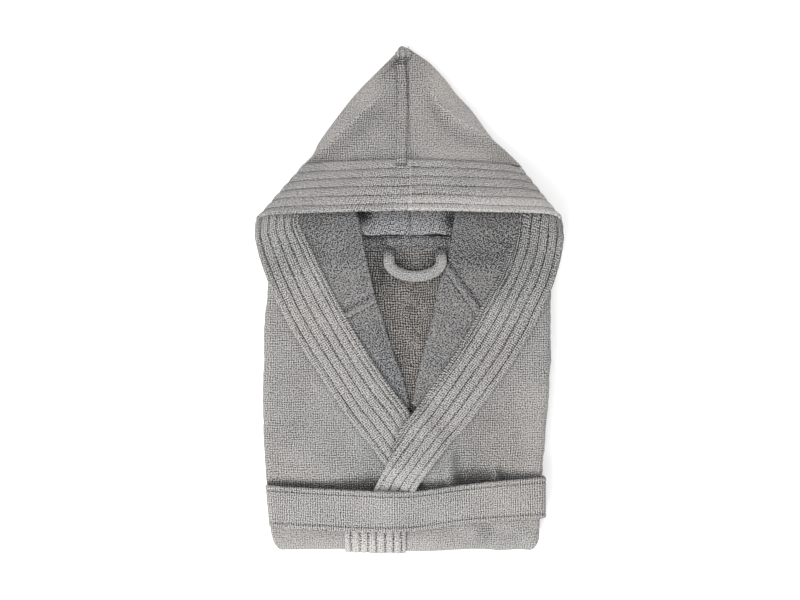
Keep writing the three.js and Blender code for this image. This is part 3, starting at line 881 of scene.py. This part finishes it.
def hood_panel(name, side):
    """One side panel of the hood: from the centre seam over the side fold to the seam underneath."""
    start = table([
        (-90, 79), (-60, 81), (-46, 92), (-40, 112), (-30, 143), (-12, 160), (0, 165), (10, 166.5),
        (45, 170), (90, 172),
    ])
    stretches = ((-90, -30, 34), (-30, 30, 22), (30, 90, 34))
    theta = np.concatenate([np.linspace(a, b, n)[: n - (b < 90)] for a, b, n in stretches])
    rise = steps(1, 0.018, 0.004)
    t_grid, r_grid = np.meshgrid(theta, rise)
    foot = start(t_grid) + 1.6 * ripple(t_grid, 0, 16, 34 + side) * ramp(t_grid, -55, -65)
    y = foot + (HOOD_TOP_Y - foot) * r_grid
    # Columns bunch where the side folds, so that the fold stays round.
    out = np.minimum(np.cos(np.radians(t_grid)), 0.9995)
    seam = -2.0 + 3.0 * ramp(y, 260, 170)
    outside = hood_left(y) if side < 0 else hood_right(y)
    x = seam - side * 0.4 + (outside - seam) * out
    full = np.sign(np.sin(np.radians(t_grid))) * fullness(across_hood(x, y))
    high = hood_side(y) + (hood_crown(y) - hood_side(y)) * full
    high = high + hood_creases(x, y) * np.abs(full)
    low = hood_side(y) + (hood_side(y) - hood_floor(y)) * full
    # At the opening's two corners the lining dips, and painted shade darkens it there.
    corner = bump(x + 57, 11) * bump(y - 105, 11) + bump(x - 52, 9) * bump(y - 98, 14)
    low = low - 4 * corner
    shade = np.where(t_grid < 0, 0, hood_shade(x, y))
    outer = np.where(t_grid >= 0, high, low)
    mid = np.stack([x, y, outer], -1)
    if side > 0:
        mid, theta, y = mid[:, ::-1], theta[::-1], y[:, ::-1]
        shade, corner = shade[:, ::-1], corner[:, ::-1]
    pressed = 1 - 0.6 * bump(theta[None, :], 22) * ramp(y, 140, 200)
    mid = mid - normals(mid) * (SKIN / 2 * pressed + 0.1)[..., None]
    ends = rounding(np.minimum(rise, 1 - rise) * 150, 1.6)[:, None]
    seams = rounding(np.minimum(theta + 90, 90 - theta)[None, :] / 180 * 300, 1.8)
    half = SKIN / 2 * pressed * ends * (0.25 + 0.75 * seams)
    return slab(name, mid, half, VELOUR, seam=shade, lining=LINING, seam_below=1.3 * corner)


def make_hood():
    """The hood's two side panels."""
    for side, word in ((-1, "left"), (1, "right")):
        piece = hood_panel("hood_side_" + word, side)
        dress(piece, ["hood_panel_" + word], "robe to hood")


# ---------- lapels ----------
def lapel_height(x, y, over):
    """The middle of a lapel that lies on the front, or on the other lapel where it crosses it."""
    z = TOP_Z + 0.9 + BAND / 2 + 0.9 * body_noise(x, y)
    if over:
        on_it = ramp(beside(x, y, (-12, -232), (-81, -142)), 8, -8)
        before = ramp(beside(x, y, (-4, -128), (56, -203)), 24, -2)
        z = z + (BAND + 0.5) * on_it * before * ramp(y, -108, -130)
    return z - 1.2 * ramp(np.abs(x), 172, 197)


PER_STATION = 40  # points of the fine curves between two stations
LEFT_FACING, RIGHT_FACING = 2, 5  # the stations where the facings begin

# Stations from the belt up, in plan: free edge, band seam and, where there is a facing, roll edge.
LEFT_STATIONS = [
    [(-14, -226), (16, -196)],
    [(-31, -206), (12, -168)],
    [(-56, -174), (-3, -136), (0, -134)],
    [(-81, -142), (-27, -104), (-9, -98)],
    [(-108, -101), (-50, -70), (-20, -68)],
    [(-134, -61), (-76, -26), (-33, -28)],
    [(-156, -22), (-95, 9), (-44, 8)],
    [(-174, 16), (-112, 43), (-53, 46)],
    [(-185.5, 47), (-126, 72), (-59, 75)],
    [(-192, 73), (-137, 96), (-64, 100)],
]
RIGHT_STATIONS = [
    [(-22, -262), (-60, -257)],
    [(2, -244), (-47, -239)],
    [(12, -229), (-37, -220)],
    [(29, -206), (-24, -194)],
    [(49, -181), (-13, -161)],
    [(70, -158), (8, -134), (2, -129)],
    [(98, -121), (42, -86), (15, -72)],
    [(126, -82), (69, -44), (28, -21)],
    [(150, -43), (90, -5), (36, 18)],
    [(165, -10), (104, 19), (45, 42)],
    [(176, 14), (114, 37), (49, 63)],
    [(185.5, 44), (122, 58), (52, 82)],
    [(190.5, 72), (130, 84), (55, 100)],
]
# The band folds over at the hood's corner and goes on along the hood's opening, to the centre.
CORNER_LEFT = [
    [(-192.5, 85), (-135, 115)],
    [(-191.8, 92), (-132, 143)],
    [(-189.5, 98), (-131, 166)],
    [(-184, 102.5), (-126, 168)],
    [(-172, 105), (-112, 169.7)],
    [(-145, 106.3), (-90, 171)],
    [(-105, 107.3), (-62, 172.3)],
    [(-55, 108.6), (-32, 173.3)],
    [(1.6, 109.6), (1.6, 173.7)],
]
CORNER_RIGHT = [
    [(190, 84), (136, 112)],
    [(189, 92), (134, 140)],
    [(186.5, 99), (136.5, 162)],
    [(181, 103.5), (132, 164.5)],
    [(168, 106), (118, 167.5)],
    [(142, 107), (95, 169.5)],
    [(105, 107.6), (65, 171.5)],
    [(55, 108.8), (33, 173)],
    [(-0.4, 109.6), (-0.4, 173.7)],
]


def rows_relief(across, along, scale, depth=1.9):
    """Padding between the stitched rows: thickness lost at each row, and how dark the stitches are."""
    lost = 0
    dark = 0
    for row in ROWS:
        wander = 0.3 * np.sin(along / 23.0 + row) + 0.12 * np.sin(along / 7.3 + 2 * row)
        off = across - row * scale - wander
        lost = lost + depth * (0.5 * bump(off, 0.85) + 0.45 * bump(off, 3.8))
        dark = dark + bump(off, 0.8) * (0.8 + 0.14 * np.sin(along * 2 * np.pi / 3.1 + row))
    pucker = 0.2 * np.sin(along / 1.9 + 1.3 * np.sin(across / 6.0)) * np.cos(along / 13.0 + across / 9.0)
    return lost + pucker, dark


def overlock(across, along, seam):
    """The corded, whip-stitched edge where the band ends."""
    off = across - seam
    unevenness = 0.8 * np.sin(along / 11.0) + 0.5 * np.sin(along / 4.7)
    stitch = np.sin(along * 2 * np.pi / 3.9 + 0.9 * off + unevenness)
    cord = 1.5 * bump(off + 2.2, 2.2) - 1.2 * bump(off + 6.0, 1.0)
    whip = 1.3 * stitch * bump(off + 2.0, 2.4)
    dark = 0.45 * bump(off + 6.0, 0.9) + 0.5 * bump(off - 0.3, 1.0)
    thread = 0.8 * np.clip(-stitch - 0.1, 0, 1) - 0.3 * np.clip(stitch, 0, 1)
    return cord + whip, dark + thread * bump(off + 2.0, 2.2)


def lapel_shade(x, y, side):
    """Painted shade on a lapel towards the hood's corner, and painted light at the right lapel's lower
    end.
    """
    if side < 0:
        return 0.17 * bump(y - 45, 30) * ramp(x, -110, -150)
    upper = 0.09 * ramp(y, -130, -70) + 0.12 * ramp(y, -20, 40)
    return upper - 0.12 * ramp(y, -200, -215)


def facing_shade(y, side):
    """The loops of a facing catch more light round its shoulder seam."""
    if side < 0:
        return -0.42 * ramp(y, 52, 27) * ramp(y, -45, -15)
    return -0.68 * ramp(y, 52, 22) - 0.3 * ramp(y, 72, 86)


def between(first, second, share, spacing, edge, columns):
    """Rows of points from one line to another, in step with both.

    The rows are spaced along the line that lies the given share of the way across. Returned are the
    distances along that line, its length, the columns and the rows' stations as grids, and the two lines
    at each grid point.
    """
    first, second = spline(first, PER_STATION), spline(second, PER_STATION)
    line = Curve(first + share * (second - first), smooth=False)
    along = steps(line.length, spacing, edge)
    count = np.arange(len(first))
    t, p = np.meshgrid(columns, np.interp(along, line.distance, count))
    ends = [np.interp(p, count, side[:, k]) for side in (first, second) for k in (0, 1)]
    return along, line.length, t, p, *ends


def band_strip(name, stations, corner, side):
    """The quilted band of one side, from under the belt up the lapel and along the hood's opening."""
    free = [station[0] for station in stations + corner]
    seam = [station[1] for station in stations + corner]
    columns = steps(BAND_WIDTH, 0.85, 2.5) / BAND_WIDTH
    along, length, t, p, fx, fy, sx, sy = between(free, seam, 0.35, 1.2, 2.5, columns)
    x, y = fx + (sx - fx) * t, fy + (sy - fy) * t
    width = np.hypot(sx - fx, sy - fy)
    # Where the roll line cuts the band short, its rows keep their distance from the free edge.
    lapel_end = (len(stations) - 1) * PER_STATION
    fold = (len(stations) + 2) * PER_STATION
    whole = BAND_WIDTH if side < 0 else RIGHT_WIDTH
    scale = np.maximum(width / whole, 1.0) if side > 0 else width / whole
    across = t * width
    on_chest = lapel_height(x, y, side > 0)
    inside_hood = hood_bottom(x, y) + 4.4
    # The band's seam edge goes down with the hood's lower layer sooner than its free edge does.
    turn_free = ramp(p, lapel_end, fold)
    turn = turn_free + (ramp(sy, 76, 98) - turn_free) * t
    turn = np.where(p < lapel_end - 2 * PER_STATION, 0, np.clip(turn, 0, 1))
    below = on_chest * (1 - turn) + inside_hood * turn
    above = hood_top(x, y) + 0.9
    over = ramp(p - fold, -6, 16)
    z = below * (1 - over) + above * over
    row_along = np.broadcast_to(along[:, None], x.shape)
    lost, dark = rows_relief(across, row_along, scale)
    edge_in, edge_dark = overlock(across, row_along, whole * scale)
    on_hood = ramp(p, lapel_end, lapel_end + 60)
    edge_in, edge_dark = edge_in * (1 - on_hood), edge_dark * (1 - on_hood)
    fade = 0.75 + 0.25 * ripple(row_along, across, 30, 45)
    dark = dark * np.clip(fade - 0.2 * over, 0.35, 1)
    # Painted light on the band's lowest rows on the hood's right, and the lapel's painted shade.
    painted_light = 0.24 * over * ramp(y, 134, 118) * ramp(x, -40, 20)
    dark = dark + (1 - over) * lapel_shade(x, y, side) - painted_light
    rolled = 0.7 * bump(across - 3.4, 2.6) + 0.25 * np.sin(across * 2 * np.pi / 2.6) * bump(across - 4, 3)
    ends = round_ends(along, length, 1.2)[:, None]
    rims = round_ends(across, width, 2.5)
    # The strips' ends meet in a raised joint, which also gets a painted highlight.
    joint = 0.25 * bump(length - row_along - 1.0, 1.0)
    body = BAND / 2 + rolled + edge_in * 0.8 - lost * 0.8 + joint
    half = np.maximum(body, 0.5) * rims * ends
    mid = np.stack([x, y, z], -1)
    grain = np.stack([across, row_along], -1)
    return slab(name, mid, half, QUILTED, grain, np.clip(dark + edge_dark - joint, -0.6, 1))


def facing_strip(name, stations, side, seam_line, material):
    """The single layer between the band and the roll edge, inside face up."""
    band = [station[1] for station in stations]
    roll = [station[2] for station in stations]
    along, length, t, _, bx, by, rx, ry = between(band, roll, 0.5, 0.9, 1.5, steps(1, 0.016))
    width = np.hypot(rx - bx, ry - by)
    overlap = 5.0 / np.maximum(width, 5.0)
    s = -overlap + (1 + overlap) * t
    x, y = bx + (rx - bx) * s, by + (ry - by) * s
    from_roll = width * (1 - s)
    z = lapel_height(x, y, side > 0) - 1.0 + 0.9 * ripple(x, y, 38, 51 + side) - 0.6
    z = z - 3.4 * bump(from_roll, 15)
    deep = ramp(y, 76, 98) * (1 - t) + ramp(y, 98, 128) * t
    z = z * (1 - deep) + (hood_bottom(x, y) + 5.0) * deep
    ridge = beside(x, y, *seam_line)
    beat = np.sin(1.5 * (x + side * y))
    raised = 2.6 * ramp(np.abs(ridge), 5.2, 3.2) + 0.9 * beat * bump(ridge - 2.5, 1.6)
    raised = raised + 0.9 * bump(ridge + 3.4, 1.2)
    # Besides the stitches, this darkening holds painted light on the seam's ridges, along the roll edge
    # and round the shoulder seam, and a little random tone.
    stitch = bump(ridge - 5.6, 1.3) + bump(ridge + 5.6, 1.3) - 0.8 * bump(ridge + 3.2, 1.6)
    stitch = stitch + 0.9 * np.clip(-beat, 0, 1) * bump(ridge - 2.5, 1.8) - 0.12 * bump(ridge, 5)
    stitch = 1.2 * stitch - 0.16 * bump(from_roll - 3, 3.5) + 0.12 * ripple(x, y, 30, 53 + side)
    stitch = stitch + facing_shade(y, side)
    ends = round_ends(along, length, 1.5)[:, None]
    rim = rounding(from_roll, 3.6)
    up = (1.9 + raised) * rim * ends
    down = (1.9 + 1.6 * bump(from_roll, 9)) * rim * ends
    rim_in = rounding(width * (s + overlap), 1.5)
    mid = np.stack([x, y, z], -1)
    grain = np.stack([width * s, np.broadcast_to(along[:, None], x.shape)], -1)
    # The right facing's columns run to the left, so its normal points down.
    up, down = (up, down) if side < 0 else (down, up)
    return slab(name, mid, up * rim_in, material, grain, stitch, down=down * rim_in)


def make_lapels():
    """The band and the facing of each lapel. Both go on past the hood's corner."""
    left_facing = LEFT_STATIONS[LEFT_FACING:] + [[(-180, 118), (-139, 124), (-70, 126)]]
    right_facing = RIGHT_STATIONS[RIGHT_FACING:] + [[(178, 118), (134, 118), (60, 126)]]
    left_seam = ((-75, -17), (-47, -1))
    right_seam = ((46, 41), (84, -14))
    # The right facing gets the terry copy that is painted darker, as shade.
    for side, word, stations, corner, facing_stations, seam_line, tone_and_shade in (
        (-1, "left", LEFT_STATIONS, CORNER_LEFT, left_facing, left_seam, TERRY),
        (1, "right", RIGHT_STATIONS, CORNER_RIGHT, right_facing, right_seam, TERRY_SHADED),
    ):
        band = band_strip("collar_" + word, stations, corner, side)
        nodes = ["collar_band_" + word, "hood_band_" + word]
        dress(band, nodes, "robe to hood")
        facing = facing_strip("facing_" + word, facing_stations, side, seam_line, tone_and_shade)
        dress(facing, ["lapel_facing_" + word], "robe to hood")


# ---------- belt ----------
BELT_CUT = 49.2  # its width, measured flat


def belt_line(left, right, low, side_top):
    """The belt's middle line: under the pack, up its sides round the corners, and over the top."""
    corner = 9.0
    x_top = np.linspace(left + corner, right - corner, 60)
    arch = 2.2 * np.sin(np.pi * (x_top - left) / (right - left))
    crown = side_top + arch + 7.2 * bump(x_top + 18, 52)
    bottom_middle = [((left + right) / 2, low)]
    ring = [
        bottom_middle,
        arc((right - corner, low + corner), corner, -90, 0, 8),
        arc((right - corner, crown[-1] - corner), corner, 0, 90, 8)[:-1],
        np.column_stack([x_top, crown])[::-1],
        arc((left + corner, crown[0] - corner), corner, 90, 180, 8)[1:],
        arc((left + corner, low + corner), corner, 180, 270, 8),
        bottom_middle,
    ]
    return Curve(np.vstack(ring), smooth=False)


def make_belt():
    """A closed loop of strap, wrapped round the pack below the crossed lapels."""
    inset = 2.2
    left, right = BELT_LOW[0] + inset, BELT_HIGH[0] - inset
    low, side_top = BELT_LOW[2] + inset, TOP_Z + 3.2
    loop = belt_line(left, right, low, side_top)
    a, s = np.meshgrid(steps(BELT_CUT, 0.85, 2.2), np.linspace(0, loop.length, 640))
    xz = loop.at(s)
    x, z = xz[..., 0], xz[..., 1]
    upper = belt_upper(np.clip(x, -182, 172))
    lower = belt_lower(np.clip(x, -182, 172))
    on_top = ramp(z, low, side_top)
    straight = np.interp(x, [left, right], [-232.5, -221.5])
    top_edge = upper * on_top + straight * (1 - on_top)
    width = (upper - lower) * on_top + 50.0 * (1 - on_top)
    t = a / BELT_CUT
    y = top_edge - width * t
    taper = 5.0 * t * ramp(x, left + 25, left)
    x = x + taper * (x < left + 25)
    from_bottom = BELT_CUT - a
    rows = bump(a - 6.3, 0.7) + bump(from_bottom - 5.6, 0.7)
    dashes = 0.45 + 0.45 * np.sin(s * 2 * np.pi / 3.4)
    crest = 0.6 * ripple(s, a * 2, 60, 61) + 0.4 * ripple(s, a / 2, 16, 62)
    z = z + crest * 0.6 * on_top
    half = 1.9 - 0.7 * rows + 0.35 * bump(a - 3, 2.4) + 0.3 * bump(from_bottom - 2.3, 1.6)
    half = half * round_ends(a, BELT_CUT, 2.2)
    mid = np.stack([x, y, z], -1).transpose(1, 0, 2)
    grain = np.stack([s, a], -1).transpose(1, 0, 2)
    piece = slab("waist_belt", mid, half.T, STRAP, grain, (rows * dashes).T, wrap=True)
    dress(piece, ["belt"], "belt")


# ---------- front band below the belt ----------
def make_front_band():
    """The band along the front edge, below the belt, round the bottom end and back under the pack."""
    arc_mid = TOP_START - np.pi * BOTTOM_R / 2
    first, last = arc_mid - 360, arc_mid + 74
    across = steps(BAND_RIGHT - BAND_LEFT, 1.3, 2.0)
    along = steps(last - first, 2.3, 2.0) + first
    a, s = np.meshgrid(across, along)
    x = BAND_LEFT + a + 34 * ramp(s - arc_mid, 45, 105)
    lost, dark = 0, 0
    for row in (8.0, 18.5, 29.0, 39.5, 50.0, 60.5, 70.0):
        off = a - row - 0.4 * np.sin(s / 17 + row)
        lost = lost + 0.45 * bump(off, 1.2) + 0.95 * bump(off, 3.2)
        dark = dark + 0.7 * bump(off, 1.1)
    rims = round_ends(a, BAND_RIGHT - BAND_LEFT, 3.0) * round_ends(s - first, last - first, 2.0)
    up = np.maximum(2.1 - lost, 0.4) * rims
    mid = on_path(x, s, 1.7 + fold_relief(x, s))
    grain = np.stack([a, s], -1)
    # The band is painted lighter overall, as light on the bottom end.
    piece = slab("front_band", mid, up, QUILTED, grain, dark - 0.2, down=1.6 * rims)
    dress(piece, ["collar_band_right"], "robe")


# ---------- neck ----------
def make_neck_tape():
    """The felled strip over the neck seam."""
    left, right, tall = STRIP_LOW[0] - 6, STRIP_HIGH[0] + 6, 17
    x = steps(right - left, 2.0, 1.5) + left
    xx, aa = np.meshgrid(x, steps(tall, 1.1, 1.5))
    y = STRIP_LOW[1] - 1 + aa + 1.5 * bump(xx, 60) + 0.8 * ripple(xx, aa, 14, 72)
    z = TOP_Z - 2.6 + 0.8 * ripple(xx, aa, 10, 71)
    rows = bump(aa - 3.4, 0.8)
    ragged = 0.5 + 0.5 * ripple(xx, aa, 9, 73)
    upper_edge = 0.8 * bump(aa - 14.5, 1.6) * (0.6 + 0.4 * ramp(xx, 0, -20))
    shade = rows * ragged + upper_edge + 0.25 * ripple(xx, aa, 11, 74)
    # Painted shade darkens both ends of the tape, in the corners beside the facings.
    shade = shade + 0.45 * ramp(xx, -22, -36) + 0.3 * ramp(xx, 28, 40)
    shade = np.clip(shade, -0.3, 1)
    half = (1.3 - 0.5 * rows) * round_ends(aa, tall, 1.5)
    mid = np.stack([xx, y, z], -1)
    piece = slab("neck_tape", mid, half, TAPE, seam=shade)
    dress(piece, ["neck_strip"], "robe")


def make_hanger():
    """The hanging loop: a U of folded tape, sewn in under the neck tape at both ends."""
    centre = (LOOP_LOW[0] + LOOP_HIGH[0]) / 2
    wide = 13.5
    reach = (LOOP_HIGH[0] - LOOP_LOW[0]) / 2 - wide / 2
    top, bend = LOOP_HIGH[1] + 1.5, 47.0
    deep = bend - LOOP_LOW[1] - wide / 2
    turn = np.radians(np.linspace(180, 360, 30))
    line = [(centre - reach + 1, top)]
    line += [(centre + reach * np.cos(t), bend + deep * np.sin(t)) for t in turn]
    line += [(centre + reach - 1, top)]
    run = Curve(line)
    aa, ss = np.meshgrid(steps(wide, 1.0, 2.2), steps(run.length, 1.5, 1.0))
    here, ahead = run.at(ss), run.at(ss + 1) - run.at(ss - 1)
    ahead /= np.linalg.norm(ahead, axis=-1, keepdims=True)
    off = aa - wide / 2
    x = here[..., 0] - ahead[..., 1] * off
    y = here[..., 1] + ahead[..., 0] * off
    lift = 4.2 * np.sin(np.pi * ss / run.length) ** 2
    z = TOP_Z + 1.0 + lift + 1.1 * np.cos(off / 4.5) + 0.4 * ripple(ss, aa, 18, 75)
    half = 1.8 * (round_ends(aa, wide, 2.2) * round_ends(ss, run.length, 1.0))
    # Painted shade at both ends, where the loop goes in under the neck tape, and a dark line beside one
    # edge.
    shade = 0.5 * bump(np.minimum(ss, run.length - ss) - 2, 7) + 0.2 * bump(off - 4.4, 0.9)
    mid = np.stack([x, y, z], -1)
    piece = slab("hanger", mid, half, HANGER, seam=shade)
    dress(piece, ["hanging_loop"], "loop")


# ---------- the hood's centre seam and peak ----------
def make_hood_seam():
    """The felled strip over the hood's centre seam."""
    first, last, wide = 165.5, 311, 14
    y = steps(last - first, 1.5, 1.5) + first
    aa, yy = np.meshgrid(steps(wide, 0.8, 1.6), y)
    x = -17.5 + aa + 1.0 * np.sin(yy / 30)
    # Towards the peak the strip is thicker and more uneven, and its seam darker.
    lump = ramp(yy, 225, 265)
    z = hood_top(x, yy) + 0.5 + 0.5 * lump * ripple(x, yy, 9, 81) + 3.4 * ramp(yy, 178, 173)
    rims = round_ends(aa, wide, 1.6) * round_ends(yy - first, last - first, 2.0)
    half = (1.5 + 0.6 * lump + 0.35 * np.sin(yy / 2.6) * lump) * rims
    right_edge = (0.65 + 0.35 * lump) * bump(13.2 - aa, 1.1 + 0.5 * lump)
    dark = right_edge + (0.15 + 0.6 * lump) * bump(aa - 0.8, 1.1)
    dark = dark * (0.75 + 0.25 * ripple(x, yy, 12, 83))
    # Painted shade in the crease under the knotted peak, and a dark line at the strip's lower end.
    dark = np.clip(dark + bump(yy - first - 0.8, 1.2) + bump(yy - 297, 3.5), 0, 1)
    mid = np.stack([x, yy, z], -1)
    piece = slab("hood_seam", mid, half, VELOUR, seam=dark)
    dress(piece, ["hood_seam_strip"], "hood")


def round_body(name, points, material, shade):
    """A closed lump through rings of points, from the lowest up. shade gives the painted shade of its
    creases.
    """
    rows, cols = points.shape[0], points.shape[1] - 1
    verts = points[1:-1, :-1].reshape(-1, 3)
    verts = np.vstack([verts, points[0, 0], points[-1, 0]])
    faces = []
    for i in range(rows - 3):
        for j in range(cols):
            k = (j + 1) % cols
            faces.append([i * cols + j, i * cols + k, (i + 1) * cols + k, (i + 1) * cols + j])
    bottom, top = len(verts) - 2, len(verts) - 1
    last = (rows - 3) * cols
    for j in range(cols):
        k = (j + 1) % cols
        faces.append([bottom, k, j])
        faces.append([top, last + j, last + k])
    return cloth_piece(name, verts, faces, verts[:, :2], shade(verts), material)


def make_hood_peak():
    """The turned-in cloth at the tip of the hood, gathered into a knot."""
    radius, height = 10.2, 8.0

    # Painted shade in the creases low on the knot, and a ripple of tone round it.
    def painted_crease_shade(points):
        return 0.9 * bump(points[:, 1] - 301, 3) + 0.25 * np.sin(points[:, 0] * 0.9)

    u, v = np.meshgrid(np.linspace(0, 360, 49), np.linspace(-90, 90, 30))
    level = np.cos(np.radians(v))
    lump = 1 + 0.12 * ripple(u / 6, v / 6, 14, 82) * level
    x = -8.0 + radius * np.cos(np.radians(u)) * level * lump
    y = 306.8 + radius * np.sin(np.radians(u)) * level * lump
    z = 12.5 + height * np.sin(np.radians(v)) * lump
    knot = round_body("hood_peak", np.stack([x, y, z], -1), VELOUR, painted_crease_shade)
    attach(knot, "hood")


make_body()
make_back()
make_sleeves()
make_pockets_and_loops()
make_hood()
make_lapels()
make_belt()
make_front_band()
make_neck_tape()
make_hanger()
make_hood_seam()
make_hood_peak()
